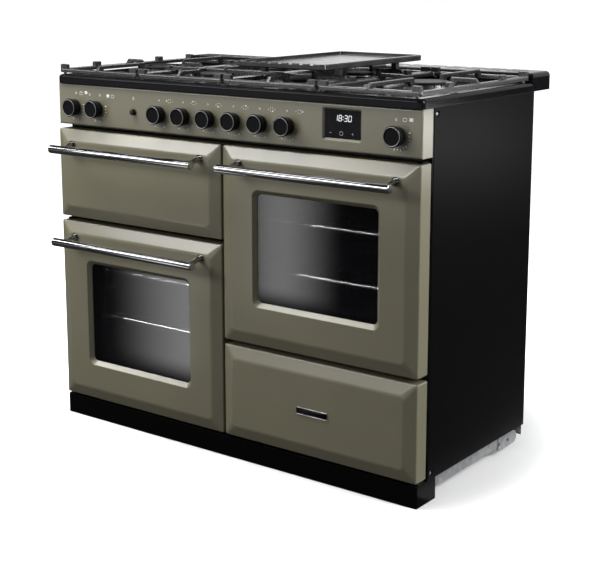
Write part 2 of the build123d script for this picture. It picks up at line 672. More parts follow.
def skin(box):
    """Sheet pressing that is open at the back."""
    outside = pressing(box, FRONT, DOOR_BACK, BEVEL_BLEND, BEVEL_EDGE)
    depth = (FRONT + SHEET, DOOR_BACK + SHEET + 1)
    inside = pressing(grown(box, -SHEET), *depth, BEVEL_BLEND - SHEET, BEVEL_EDGE - SHEET)
    return outside - inside


def bezel(window, grow, y0):
    """Funnel from the door's face in to the glass."""
    wide = rounded(y0, *grown(window, BEZEL_WIDTH + grow), WINDOW_RADIUS + BEZEL_WIDTH / 2 + grow)
    narrow = rounded(FRONT + BEZEL_DEPTH, *grown(window, grow), WINDOW_RADIUS + grow)
    return loft([wide, narrow])


def oven_door_skin(door):
    """Oven door front with a window whose sloping edge runs in to the glass."""
    window = window_of(door)
    front = skin(door) + bezel(window, SHEET, FRONT)
    front -= bezel(window, 0, FRONT)
    side = 1 if door[1] > 0 else -1
    x = hinge_x(side)
    for z in (door[2], door[3]):
        front -= bar_z(x, HINGE_Y, z - 2 * SHEET, z + 2 * SHEET, PIN_RADIUS + 1)
    return front


def hinge_x(side):
    """Hinge axis of an oven door."""
    return side * (HALF - DOOR_SIDE_INSET - HINGE_INSET)


def door_liner(door):
    """Inner tray that closes the back of a door."""
    box = grown(door, -SHEET - TOUCH_GAP)
    front = DOOR_BACK - LINER_RETURN
    tray = prism_y(front, DOOR_BACK, *box, EDGE_RADIUS)
    return tray - prism_y(front - 1, DOOR_BACK - SHEET, *grown(box, -SHEET), EDGE_RADIUS - SHEET)


def oven_door_liner(door):
    """Oven door tray with its window and the bearing blocks of the hinge pins."""
    side = 1 if door[1] > 0 else -1
    x = hinge_x(side)
    tray = door_liner(door)
    gap = SHEET + TOUCH_GAP
    half = HINGE_INSET - gap
    for z0 in (door[2] + gap, door[3] - gap - HINGE_BLOCK):
        block = slab(x - half, x + half, HINGE_Y - half, DOOR_BACK, z0, z0 + HINGE_BLOCK)
        tray += block & prism_y(FRONT, DOOR_BACK, *grown(door, -gap), EDGE_RADIUS)
        tray -= bar_z(x, HINGE_Y, z0 - 1, z0 + HINGE_BLOCK + 1, PIN_RADIUS + RUNNING_GAP)
    return tray - prism_y(DOOR_BACK - SHEET - 1, DOOR_BACK + 1, *window_of(door), WINDOW_RADIUS)


def oven_door_glass(door):
    """Outer pane behind the window's edge and inner pane on the tray."""
    box = grown(window_of(door), GLASS_LAP)
    outer_y = FRONT + BEZEL_DEPTH
    inner_y = DOOR_BACK - SHEET
    outer = prism_y(outer_y, outer_y + GLASS_THICKNESS, *box, WINDOW_RADIUS)
    return [outer, prism_y(inner_y - GLASS_THICKNESS, inner_y, *box, WINDOW_RADIUS)]


def grill_slots(door):
    """Room for the grill hinge arms, and the trimmed lower back edge."""
    cuts = []
    axis_z = door[2] + GRILL_HINGE_RISE
    reach = GRILL_ARM_RADIUS + 1
    for x in (door[0] + GRILL_HINGE_INSET, door[1] - GRILL_HINGE_INSET):
        half = HINGE_ARM / 2 + 1
        cuts.append(slab(x - half, x + half, HINGE_Y - reach, DOOR_BACK + 1, door[2] - 1, axis_z + reach))
    relief_y = (DOOR_BACK - LINER_RETURN - 1, DOOR_BACK + 2)
    relief_z = (door[2] - 1, door[2] + GRILL_BACK_RELIEF)
    cuts.append(slab(door[0] - 1, door[1] + 1, *relief_y, *relief_z))
    return cuts


def grill_door_liner(door):
    """Grill door tray with a pressed middle and bearing blocks beside the hinge arms."""
    tray = door_liner(door) - grill_slots(door)
    axis_z = door[2] + GRILL_HINGE_RISE
    middle = grown(door, -BEVEL_WIDTH - GRILL_HINGE_RISE)
    for x, turn in ((door[0] + GRILL_HINGE_INSET, 1), (door[1] - GRILL_HINGE_INSET, -1)):
        near = x + turn * (HINGE_ARM / 2 + 1)
        ends = sorted((near, near + turn * HINGE_BLOCK))
        reach = GRILL_ARM_RADIUS + 1
        block = slab(*ends, HINGE_Y - reach, DOOR_BACK, axis_z - reach, axis_z + reach + 3)
        tray += block - bar_x(ends[0] - 1, ends[1] + 1, HINGE_Y, axis_z, PIN_RADIUS + RUNNING_GAP)
    front = DOOR_BACK - GRILL_LINER_STEP
    panel = prism_y(front, DOOR_BACK, *middle, FLAT_RADIUS)
    panel -= prism_y(front + SHEET, DOOR_BACK + 1, *grown(middle, -SHEET), FLAT_RADIUS - SHEET)
    tray -= prism_y(DOOR_BACK - SHEET - 1, DOOR_BACK + 1, *grown(middle, -SHEET / 2), FLAT_RADIUS)
    return tray + panel


def handle(door):
    """Round bar on two brackets that curve up from the bar to the door."""
    middle = (door[0] + door[1]) / 2
    x0, x1 = middle - HANDLE_LENGTH / 2, middle + HANDLE_LENGTH / 2
    y, z = FRONT - HANDLE_STANDOFF, door[3] - HANDLE_DROP
    radius = HANDLE_DIAMETER / 2
    bar = bar_x(x0, x1, y, z, radius)
    bar = fillet(bar.edges().filter_by(GeomType.CIRCLE), 2)
    seat = y + radius - BRACKET_FLAT
    run = (FRONT - seat) / 2
    top = z + HANDLE_RISE
    half = BRACKET_RADIUS + 1
    brackets = []
    for x in (x0 + BRACKET_INSET, x1 - BRACKET_INSET):
        bar -= slab(x - half, x + half, seat, seat + radius, z - radius, z + radius)
        path = Bezier((x, seat, z), (x, seat + run, z), (x, FRONT - run, top), (x, FRONT, top))
        arm = sweep(Plane(origin=(x, seat, z), z_dir=(0, 1, 0)) * Circle(BRACKET_RADIUS), path=path)
        base = bar_y(x, FRONT - BRACKET_BASE, FRONT, top, BRACKET_BASE_RADIUS)
        brackets.append(arm + base)
    return [bar, *brackets]


def drawer_box():
    """Storage tray with a front plate that closes the drawer front, and a runner on each side."""
    x0, x1, z0, z1 = DRAWER_BOX
    y1 = DOOR_BACK + DRAWER_LENGTH
    tray = slab(x0, x1, DOOR_BACK - SHEET, y1, z0, z1)
    tray -= slab(x0 + SHEET, x1 - SHEET, DOOR_BACK, y1 - SHEET, z0 + SHEET, z1 + 1)
    for a, b in ((x0 - DRAWER_RUNNER, x0), (x1, x1 + DRAWER_RUNNER)):
        half = DRAWER_RUNNER_HEIGHT / 2
        tray += slab(a, b, DOOR_BACK + SEAL_GAP, y1, RUNNER_Z - half, RUNNER_Z + half)
    return tray + door_liner(DRAWER)


def drawer_rails():
    """Channels that hold the drawer's runners, each on two legs from the base."""
    rails = []
    half = DRAWER_RUNNER_HEIGHT / 2 + DRAWER_PLAY
    y0, y1 = FRAME_BACK + TOUCH_GAP, DOOR_BACK + DRAWER_LENGTH
    for edge, turn in ((DRAWER_BOX[0], -1), (DRAWER_BOX[1], 1)):
        near = edge + turn * DRAWER_PLAY
        web = edge + turn * (DRAWER_RUNNER + DRAWER_PLAY)
        far = web + turn * RAIL_SHEET
        rail = slab(*sorted((near, far)), y0, y1, RUNNER_Z - half - RAIL_SHEET, RUNNER_Z + half + RAIL_SHEET)
        rail -= slab(*sorted((near - turn, web)), y0 - 1, y1 + 1, RUNNER_Z - half, RUNNER_Z + half)
        for y in (y0 + RAIL_LEG_INSET, y1 - RAIL_LEG_INSET - RAIL_LEG):
            rail += slab(*sorted((web, far)), y, y + RAIL_LEG, PLINTH_TOP, RUNNER_Z)
        rails.append(rail)
    return rails


def oven_arm(side, z, pin):
    """Hinge arm of an oven door, with a pin that points into the door."""
    x = hinge_x(side)
    half = HINGE_ARM_WIDTH / 2
    arm = slab(x - half, x + half, HINGE_Y, FRAME_FRONT, z, z + HINGE_ARM)
    arm += bar_z(x, HINGE_Y, z, z + HINGE_ARM, half)
    ends = (z, z + HINGE_ARM + PIN_LENGTH) if pin > 0 else (z - PIN_LENGTH, z + HINGE_ARM)
    return arm + bar_z(x, HINGE_Y, *ends, PIN_RADIUS)


def door_hinges():
    """Arms of the three doors, all fixed to the front frame."""
    below = (PLINTH_GAP - HINGE_ARM) / 2
    arms = [
        oven_arm(-1, DOOR_BOTTOM - below - HINGE_ARM, 1),
        oven_arm(-1, LEFT_OVEN_TOP + below, -1),
        oven_arm(1, RIGHT_OVEN_BOTTOM - below - HINGE_ARM, 1),
        oven_arm(1, DOOR_TOP + below, -1),
    ]
    axis_z = GRILL_BOTTOM + GRILL_HINGE_RISE
    half = HINGE_ARM / 2
    reach = (axis_z - GRILL_ARM_RADIUS, axis_z + GRILL_ARM_RADIUS)
    for x, turn in ((GRILL_DOOR[0] + GRILL_HINGE_INSET, 1), (GRILL_DOOR[1] - GRILL_HINGE_INSET, -1)):
        arm = slab(x - half, x + half, HINGE_Y, FRAME_FRONT, *reach)
        arm += bar_x(x - half, x + half, HINGE_Y, axis_z, GRILL_ARM_RADIUS)
        pin = sorted((x, x + turn * (half + PIN_LENGTH)))
        arms.append(arm + bar_x(*pin, HINGE_Y, axis_z, PIN_RADIUS))
    return arms


def oven_door_seals():
    """Fibre seals on the front frame round the two oven openings."""
    seals = []
    y0, y1 = DOOR_BACK + TOUCH_GAP, FRAME_FRONT
    outer = SEAL_OFFSET + SEAL_WIDTH
    for oven in (LEFT_OVEN, RIGHT_OVEN):
        outside = prism_y(y0, y1, *grown(oven, outer), OVEN_RADIUS + outer)
        inside = prism_y(y0 - 1, y1 + 1, *grown(oven, SEAL_OFFSET), OVEN_RADIUS + SEAL_OFFSET)
        seals.append(outside - inside)
    return seals


# Control panel
def clock_funnel(wall):
    """Funnel from the panel's face in to the clock, with a wall added round it."""
    wide = rounded(PANEL_FRONT, *grown(CLOCK, CLOCK_LIP + wall), CLOCK_RADIUS + CLOCK_LIP + wall)
    narrow = rounded(PANEL_FRONT + CLOCK_SINK, *grown(CLOCK, wall), CLOCK_RADIUS + wall)
    return loft([wide, narrow])


def control_panel():
    """Folded fascia with holes for the spindles and the light button, and a sloping lip round the clock."""
    x = HALF - DOOR_SIDE_INSET
    box = slab(-x, x, PANEL_FRONT, FRAME_FRONT, PANEL_BOTTOM, PANEL_TOP)
    box = fillet(box.edges().group_by(Axis.Y)[0], PANEL_RADIUS)
    inner = x - SHEET
    rows = (PANEL_BOTTOM + SHEET, PANEL_TOP - SHEET)
    inside = slab(-inner, inner, SWITCH_FRONT, FRAME_FRONT + 1, *rows)
    panel = box - fillet(inside.edges().group_by(Axis.Y)[0], PANEL_RADIUS - SHEET)
    panel = panel + clock_funnel(SHEET) - clock_funnel(0)
    through = (PANEL_FRONT - 1, SWITCH_FRONT + 1)
    holes = [bar_y(knob_x, *through, KNOB_Z, SPINDLE_HOLE) for knob_x in (*HOB_KNOBS, *OVEN_KNOBS)]
    holes.append(bar_y(BUTTON_X, *through, KNOB_Z, BUTTON_RADIUS + TOUCH_GAP))
    return panel - holes


def clock_display():
    """Clock module whose face closes the back of the panel's lip."""
    box = grown(CLOCK, CLOCK_LAP)
    return slab(*box[:2], PANEL_FRONT + CLOCK_SINK, PANEL_FRONT + CLOCK_DEPTH, *box[2:])


def knob(x):
    """Round knob with a dished face and a pointer groove, and the spindle that it turns."""
    r, length = KNOB_RADIUS, KNOB_LENGTH
    outline = [
        (0, KNOB_CLEARANCE),
        (r - 3, KNOB_CLEARANCE),
        (r - 2.2, 3),
        (r - 0.6, length - 8),
        (r, length - 5.5),
        (r, length - 2.2),
        (r - 2.2, length),
        (r - 4.6, length),
        (r - 5.4, length - 1.2),
        (0, length - 1.2),
    ]
    body = revolve(Plane.XZ * make_face(Polyline(*outline, close=True)), Axis.Z)
    body -= slab(-0.9, 0.9, r - 10, r + 1, length - 1.8, length + 1)
    hub = length - 7
    body -= Pos(0, 0, hub / 2) * Cylinder(SPINDLE_RADIUS + RUNNING_GAP, hub)
    depth = SWITCH_FRONT - PANEL_FRONT + SPINDLE_REACH
    spindle = Pos(0, 0, (hub - depth) / 2) * Cylinder(SPINDLE_RADIUS, hub + depth)
    place = Plane(origin=(x, PANEL_FRONT, KNOB_Z), x_dir=(1, 0, 0), z_dir=(0, -1, 0))
    return [place * body, place * spindle]


def gas_taps():
    """Brass tap on the gas rail for each hob knob, with a bore for the spindle and an outlet on top."""
    taps = []
    front = SWITCH_FRONT + 4
    for x in HOB_KNOBS:
        tap = bar_y(x, front, GAS_RAIL_Y, KNOB_Z, TAP_RADIUS)
        outlet_y = (front + GAS_RAIL_Y) / 2
        tap += bar_z(x, outlet_y, KNOB_Z, KNOB_Z + TAP_OUTLET, TUBE_RADIUS + 2)
        tap -= bar_x(x - 20, x + 20, GAS_RAIL_Y, KNOB_Z, GAS_RAIL_RADIUS + TOUCH_GAP)
        bore_end = SWITCH_FRONT + SPINDLE_REACH + 1
        taps.append(tap - bar_y(x, front - 1, bore_end, KNOB_Z, SPINDLE_RADIUS + RUNNING_GAP))
    return taps


def oven_switches():
    """Switch behind each oven knob and behind the light button."""
    switches = []
    half = SWITCH_SIZE / 2
    y1 = SWITCH_FRONT + SWITCH_DEPTH
    for x in OVEN_KNOBS:
        body = slab(x - half, x + half, SWITCH_FRONT, y1, KNOB_Z - half, KNOB_Z + half)
        bore_end = SWITCH_FRONT + SPINDLE_REACH + 1
        switches.append(body - bar_y(x, SWITCH_FRONT - 1, bore_end, KNOB_Z, SPINDLE_RADIUS + RUNNING_GAP))
    half = BUTTON_SWITCH / 2
    body = slab(BUTTON_X - half, BUTTON_X + half, SWITCH_FRONT, y1, KNOB_Z - half, KNOB_Z + half)
    bore_end = SWITCH_FRONT + BUTTON_BORE
    switches.append(body - bar_y(BUTTON_X, SWITCH_FRONT - 1, bore_end, KNOB_Z, BUTTON_RADIUS + RUNNING_GAP))
    return switches


def light_button():
    """Domed push button whose stem slides in its switch."""
    stem_end = SWITCH_FRONT + BUTTON_BORE - BUTTON_TRAVEL - 1
    tip = PANEL_FRONT - BUTTON_LENGTH
    button = bar_y(BUTTON_X, tip, stem_end, KNOB_Z, BUTTON_RADIUS)
    return fillet(button.edges().group_by(Axis.Y)[0], BUTTON_RADIUS * 0.6)


# Hotplate
def hotplate():
    """Pressed hob with a rounded nose, a sunk well and a hole under each burner."""
    body = slab(-HALF, HALF, HOB_FRONT, HOB_BACK, HOB_UNDER, HOB_HEIGHT)
    body = fillet(body.edges().filter_by(Axis.Z).group_by(Axis.Y)[0], HOB_CORNER)
    nose = [e for e in body.edges().group_by(Axis.Z)[-1] if e.center().Y < HOB_BACK - 1]
    body = fillet(nose, HOB_NOSE)
    rim_x = HALF - HOB_RIM
    well_y = (HOB_FRONT + HOB_RIM, HOB_BACK - HOB_RIM)
    well = plate_z(WELL_FLOOR, HOB_HEIGHT + 1, -rim_x, rim_x, *well_y, WELL_RADIUS)
    well = fillet(well.edges().group_by(Axis.Z)[0], WELL_DEPTH * 0.6)
    inner_x = HALF - HOB_SHEET
    inner_y = (HOB_FRONT + HOB_SHEET, HOB_BACK - HOB_SHEET)
    inside = slab(-inner_x, inner_x, *inner_y, HOB_UNDER - 1, HOB_HEIGHT - HOB_SHEET)
    inside = fillet(inside.edges().filter_by(Axis.Z), HOB_CORNER - HOB_SHEET)
    inside = fillet(inside.edges().group_by(Axis.Z)[-1], HOB_NOSE - HOB_SHEET)
    tray_x = rim_x + HOB_SHEET
    tray_y = (well_y[0] - HOB_SHEET, well_y[1] + HOB_SHEET)
    tray = (-tray_x, tray_x, *tray_y, WELL_RADIUS + HOB_SHEET)
    inside -= plate_z(WELL_FLOOR - HOB_SHEET, HOB_HEIGHT, *tray)
    holes = [bar_z(x, y, HOB_UNDER, HOB_HEIGHT, radius - CUP_INSET + TOUCH_GAP) for x, y, radius in BURNERS]
    return body - well - inside - holes


def flue_trim():
    """Upstand along the back, open below, with a row of vents on top."""
    top = HOB_HEIGHT + FLUE_RISE
    y0 = HOB_BACK + TOUCH_GAP
    body = slab(-HALF, HALF, y0, BACK, HOB_UNDER, top)
    corners = body.edges().filter_by(Axis.Z).group_by(Axis.Y)[-1] + body.edges().group_by(Axis.Z)[-1]
    body = fillet(corners, FLUE_RADIUS)
    inside = slab(-HALF + SHEET, HALF - SHEET, y0 + SHEET, BACK - SHEET, HOB_UNDER - 1, top - SHEET)
    corners = inside.edges().filter_by(Axis.Z).group_by(Axis.Y)[-1] + inside.edges().group_by(Axis.Z)[-1]
    body -= fillet(corners, FLUE_RADIUS - SHEET)
    pitch = (WIDTH - 2 * FLUE_MARGIN) / FLUE_SLOTS
    half = (pitch - FLUE_BRIDGE) / 2
    middle = (y0 + BACK) / 2
    slots = []
    for i in range(FLUE_SLOTS):
        x = (i - (FLUE_SLOTS - 1) / 2) * pitch
        for y in (middle - FLUE_ROW, middle + FLUE_ROW):
            low, high = y - FLUE_SLOT_WIDTH / 2, y + FLUE_SLOT_WIDTH / 2
            slots.append(slab(x - half, x + half, low, high, top - 2 * SHEET, top + 1))
    body -= slots
    ledge_x = HALF - SHEET / 2
    ledge_y = (HOB_BACK + TOUCH_GAP, SIDE_BACK + SHEET)
    return body + slab(-ledge_x, ledge_x, *ledge_y, HOB_UNDER, HOB_UNDER + SHEET)


def burner_heads():
    """Burner bodies with flame slots, each with a cup through the hotplate. The first has two rings."""
    heads = []
    for index, (x, y, radius) in enumerate(BURNERS):
        head = Cylinder(radius + BURNER_FLANGE, BURNER_FLANGE_HEIGHT, align=ON_BASE)
        head += Pos(0, 0, BURNER_HEIGHT / 2) * Cylinder(radius, BURNER_HEIGHT)
        head += Pos(0, 0, -BURNER_CUP / 2) * Cylinder(radius - CUP_INSET, BURNER_CUP)
        if index == 0:
            trench = Cylinder(radius - RING_WIDTH, BURNER_HEIGHT) - Cylinder(radius / 2, BURNER_HEIGHT)
            head -= Pos(0, 0, BURNER_HEIGHT / 2 + RING_FLOOR) * trench
        half = BURNER_SLOT_WIDTH / 2
        across = (radius - BURNER_SLOT_DEPTH, radius + 1)
        slot = slab(*across, -half, half, BURNER_HEIGHT - BURNER_SLOT_HEIGHT, BURNER_HEIGHT + 1)
        slots = [Rot(0, 0, 360 * i / BURNER_SLOTS) * slot for i in range(BURNER_SLOTS)]
        heads.append(Pos(x, y, WELL_FLOOR) * (head - slots))
    return heads


def burner_caps():
    """Enamelled caps on the burner heads. The wok burner has a ring and a disc."""
    caps = []
    for index, (x, y, radius) in enumerate(BURNERS):
        cap = Cylinder(radius + CAP_LAP, CAP_HEIGHT, align=ON_BASE)
        cap = fillet(cap.edges().group_by(Axis.Z)[-1], CAP_HEIGHT * 0.7)
        place = Pos(x, y, WELL_FLOOR + BURNER_HEIGHT)
        if index == 0:
            hole = radius - RING_WIDTH - 1
            caps.append(place * (cap - Pos(0, 0, CAP_HEIGHT / 2) * Cylinder(hole, CAP_HEIGHT + 2)))
            cap = Cylinder(radius / 2 + CAP_LAP, CAP_HEIGHT, align=ON_BASE)
            cap = fillet(cap.edges().group_by(Axis.Z)[-1], CAP_HEIGHT * 0.7)
        caps.append(place * cap)
    return caps


def spark_electrodes():
    """Ceramic pin beside each burner."""
    pins = []
    for x, y, radius in BURNERS:
        away = radius + BURNER_FLANGE + ELECTRODE_GAP
        px, py = x + away * cos(radians(50)), y + away * sin(radians(50))
        pin = bar_z(px, py, WELL_FLOOR, WELL_FLOOR + ELECTRODE_HEIGHT - 4, ELECTRODE_RADIUS)
        pins.append(pin + bar_z(px, py, WELL_FLOOR + 1, WELL_FLOOR + ELECTRODE_HEIGHT, ELECTRODE_RADIUS / 2))
    return pins


def finger(length):
    """Casting finger along +X from a rail at the origin, with a level top, an arch below and a blade tip."""
    pan = PAN_TOP - RAIL_BOTTOM
    outline = [
        (-RAIL_WIDTH / 2, 1),
        (-RAIL_WIDTH / 2, RAIL_HEIGHT - 1),
        (2, pan),
        (length - 3, pan),
        (length, pan - 3),
        (length, 3),
        (length - 2, 1),
        (length - 12, 1),
        (length - 20, pan - 9),
        (RAIL_WIDTH / 2 + 8, pan - 9),
        (RAIL_WIDTH / 2 + 2, 1),
    ]
    face = Plane.XZ * make_face(Polyline(*outline, close=True))
    body = extrude(face, amount=FINGER_WIDTH / 2, both=True)
    level = [e for e in body.edges().group_by(Axis.Z)[-1] if abs(e.center().Y) > 1]
    return fillet(level, 2)


def lug(x, y, along_x):
    """Small raised block on a rail."""
    half = LUG_LENGTH / 2
    width = RAIL_WIDTH / 2 - 1
    reach = (half, width) if along_x else (width, half)
    block = slab(x - reach[0], x + reach[0], y - reach[1], y + reach[1], RAIL_BOTTOM + 2, PAN_TOP)
    return chamfer(block.edges().group_by(Axis.Z)[-1], 1.5)


def pan_support(column):
    """Cast support: a rounded frame on four legs, with lugs on its rails and fingers towards its burners."""
    x0 = (column - 2) * SUPPORT_PITCH + SUPPORT_GAP / 2
    x1 = x0 + SUPPORT_PITCH - SUPPORT_GAP
    half = RAIL_WIDTH / 2
    left, right = x0 + half, x1 - half
    front, back = SUPPORT_FRONT + half, SUPPORT_BACK - half
    body = plate_z(RAIL_BOTTOM, RAIL_TOP, x0, x1, SUPPORT_FRONT, SUPPORT_BACK, SUPPORT_RADIUS)
    inner_y = (SUPPORT_FRONT + RAIL_WIDTH, SUPPORT_BACK - RAIL_WIDTH)
    inner = (x0 + RAIL_WIDTH, x1 - RAIL_WIDTH, *inner_y, SUPPORT_INNER_RADIUS)
    body -= plate_z(RAIL_BOTTOM - 1, RAIL_TOP + 1, *inner)
    body = fillet(body.edges().group_by(Axis.Z)[-1], RAIL_RADIUS)
    middle = (x0 + x1) / 2
    own = [b for b in BURNERS if x0 < b[0] < x1]
    stops = [front, back]
    if len(own) == 2:
        stops = [front, SUPPORT_MIDDLE, back]
        cross = slab(left, right, SUPPORT_MIDDLE - half, SUPPORT_MIDDLE + half, RAIL_BOTTOM, RAIL_TOP)
        body += fillet(cross.edges().filter_by(Axis.X).group_by(Axis.Z)[-1], RAIL_RADIUS)
    for i, (bx, by, radius) in enumerate(own):
        tip = radius + FINGER_CLEARANCE
        body += Pos(left, by, RAIL_BOTTOM) * finger(bx - tip - left)
        body += Pos(right, by, RAIL_BOTTOM) * Rot(0, 0, 180) * finger(right - bx - tip)
        body += Pos(middle, stops[i], RAIL_BOTTOM) * Rot(0, 0, 90) * finger(by - tip - stops[i])
        body += Pos(middle, stops[i + 1], RAIL_BOTTOM) * Rot(0, 0, -90) * finger(stops[i + 1] - by - tip)
    for x in (x0 + LUG_INSET, x1 - LUG_INSET):
        for y in (front, back):
            body += lug(x, y, True)
            body += bar_z(x, y, HOB_HEIGHT, RAIL_BOTTOM + 4, LEG_RADIUS)
    if len(own) == 1:
        for y in (SUPPORT_MIDDLE - BURNER_SPREAD, SUPPORT_MIDDLE + BURNER_SPREAD):
            body += lug(left, y, False)
            body += lug(right, y, False)
    return body


def griddle():
    """Cast plate with a raised rim, a drain groove, notches in the front rim and four feet on the fingers."""
    middle = 0.5 * SUPPORT_PITCH
    x0, x1 = middle - GRIDDLE_WIDTH / 2, middle + GRIDDLE_WIDTH / 2
    y0 = SUPPORT_MIDDLE + GRIDDLE_SHIFT - GRIDDLE_DEPTH / 2
    y1 = y0 + GRIDDLE_DEPTH
    z0 = PAN_TOP + GRIDDLE_LIFT
    z1 = z0 + GRIDDLE_HEIGHT
    body = plate_z(z0, z1, x0, x1, y0, y1, GRIDDLE_RADIUS)
    body = fillet(body.edges().group_by(Axis.Z)[-1], 2.5)
    body = fillet(body.edges().group_by(Axis.Z)[0], 3)
    rim = GRIDDLE_RIM
    floor = z0 + GRIDDLE_FLOOR
    inner = (x0 + rim, x1 - rim, y0 + rim, y1 - rim, GRIDDLE_RADIUS - rim + 2)
    tray = plate_z(floor, z1 + 1, *inner)
    body -= fillet(tray.edges().group_by(Axis.Z)[0], 2.5)
    groove = rim + GRIDDLE_GROOVE
    deck_edges = (x0 + groove, x1 - groove, y0 + groove, y1 - groove)
    deck = plate_z(z0 + 2, floor + 2, *deck_edges, GRIDDLE_RADIUS)
    body += chamfer(deck.edges().group_by(Axis.Z)[-1], 1)
    for i in range(GRIDDLE_NOTCHES):
        x = middle + (i - (GRIDDLE_NOTCHES - 1) / 2) * (GRIDDLE_WIDTH - 40) / GRIDDLE_NOTCHES
        body -= slab(x - 7, x + 7, y0 - 1, y0 + rim + 1, z1 - 3, z1 + 1)
    for x in (x0 + 18, x1 - 18):
        for y in (SUPPORT_MIDDLE - BURNER_SPREAD, SUPPORT_MIDDLE + BURNER_SPREAD):
            body += slab(x - 7, x + 7, y - 7, y + 7, PAN_TOP, z0 + 1)
    return body


# Gas
def gas_pipework():
    """Gas rail with its feed to the rear inlet, and a tube from each tap to its burner."""
    pipe_x = -HALF + GAS_PIPE_INSET
    rear = SIDE_BACK + SHEET + GAS_INLET_OUT
    start = (HOB_KNOBS[-1] + GAS_RAIL_END, GAS_RAIL_Y, KNOB_Z)
    points = [start, (pipe_x, GAS_RAIL_Y, KNOB_Z), (pipe_x, rear - GAS_INLET_DEPTH - 2, KNOB_Z)]
    rail = tube(points, GAS_BEND, GAS_RAIL_RADIUS)
    rail += bar_y(pipe_x, rear - GAS_INLET_LENGTH, rear, KNOB_Z, GAS_INLET_BODY)
    rail -= bar_y(pipe_x, rear - GAS_INLET_DEPTH, rear + 1, KNOB_Z, GAS_INLET_RADIUS)
    top = PANEL_TOP - CONTROL_EDGE
    for x in (HOB_KNOBS[0] - HOB_KNOB_PITCH / 2, HOB_KNOBS[-1] - HOB_KNOB_PITCH / 2):
        rail += slab(x - 8, x + 8, FRAME_FRONT, FRAME_BACK, KNOB_Z, top)
    pieces = [rail]
    outlet_y = (SWITCH_FRONT + 4 + GAS_RAIL_Y) / 2
    order = [0, 1, 2, 4, 3, 5]
    for x, index in zip(HOB_KNOBS, order):
        bx, by, _ = BURNERS[index]
        run = KNOB_Z + TUBE_RUN
        end = WELL_FLOOR - BURNER_CUP
        points = [(x, outlet_y, KNOB_Z + TAP_OUTLET), (x, outlet_y, run), (bx, by, run), (bx, by, end)]
        pieces.append(tube(points, TUBE_RADIUS * 1.5, TUBE_RADIUS))
    return pieces


# Chambers
def ring_sections(y0, y1, chamber, outer, radius):
    """Upright ring round a chamber, in sections that meet at the ends of its round corners."""
    ring = prism_y(y0, y1, *outer, radius) - prism_y(y0 - 1, y1 + 1, *chamber, OVEN_RADIUS)
    x0, x1, z0, z1 = grown(chamber, -OVEN_RADIUS)
    columns = ((outer[0], x0), (x0, x1), (x1, outer[1]))
    rows = ((outer[2], z0), (z0, z1), (z1, outer[3]))
    sections = [(column, row) for column in columns for row in rows]
    sections.remove((columns[1], rows[1]))
    return [ring & slab(*column, y0, y1, *row) for column, row in sections]


def liner_walls(chamber):
    """Enamelled sleeve of a chamber with a flange on the back of the front frame."""
    sheet = LINER_SHEET
    front = FRAME_BACK + sheet
    flange = ring_sections(FRAME_BACK, front, chamber, grown(chamber, LINER_FLANGE), OVEN_RADIUS)
    return flange + ring_sections(front, LINER_BACK, chamber, grown(chamber, sheet), OVEN_RADIUS + sheet)


def liner_back(chamber):
    """Back wall of a chamber."""
    sheet = LINER_SHEET
    return prism_y(LINER_BACK, LINER_BACK + sheet, *grown(chamber, sheet), OVEN_RADIUS + sheet)


def middle_of(chamber):
    """Middle of a chamber as (x, z)."""
    return (chamber[0] + chamber[1]) / 2, (chamber[2] + chamber[3]) / 2


def left_oven_liner():
    """Conventional oven box."""
    return [*liner_walls(LEFT_OVEN), liner_back(LEFT_OVEN)]


def right_oven_liner():
    """Fan oven box with the hole for the fan shaft."""
    x, z = middle_of(RIGHT_OVEN)
    hole = bar_y(x, LINER_BACK - 1, LINER_BACK + 2 * LINER_SHEET, z, FAN_SHAFT_RADIUS + RUNNING_GAP)
    return [*liner_walls(RIGHT_OVEN), liner_back(RIGHT_OVEN) - hole]


def grill_liner():
    """Grill box with a ledge on each side for the carriage."""
    z = GRILL[2] + GRILL_LEDGE_RISE
    depth = (FRAME_BACK + GRILL_LEDGE_START, LINER_BACK)
    left = slab(GRILL[0], GRILL[0] + GRILL_LEDGE, *depth, z - LINER_SHEET, z)
    right = slab(GRILL[1] - GRILL_LEDGE, GRILL[1], *depth, z - LINER_SHEET, z)
    return [*liner_walls(GRILL), liner_back(GRILL), left, right]


def rung_z(oven, rung):
    """Height of a rung."""
    return oven[2] + RUNG_FIRST + rung * RUNG_PITCH


def shelf_runners():
    """Wire ladder on each side wall of both ovens."""
    ladders = []
    y0, y1 = FRAME_BACK + LADDER_MARGIN, LINER_BACK - FAN_SPACE - LADDER_MARGIN
    for oven in (LEFT_OVEN, RIGHT_OVEN):
        low, high = rung_z(oven, 0) - 10, rung_z(oven, RUNGS - 1) + 10
        for wall, turn in ((oven[0], 1), (oven[1], -1)):
            x = wall + turn * LADDER_OFFSET
            rung_x = x + turn * (UPRIGHT_RADIUS + RUNG_RADIUS - 1)
            ladder = None
            for y in (y0, y1):
                upright = bar_z(x, y, low, high, UPRIGHT_RADIUS)
                for z in (low + 6, high - 6):
                    upright += bar_x(*sorted((wall, x)), y, z, UPRIGHT_RADIUS - 1)
                ladder = upright if ladder is None else ladder + upright
            rungs = [bar_y(rung_x, y0 - 6, y1 + 6, rung_z(oven, i), RUNG_RADIUS) for i in range(RUNGS)]
            ladders.append(ladder + rungs)
    return ladders


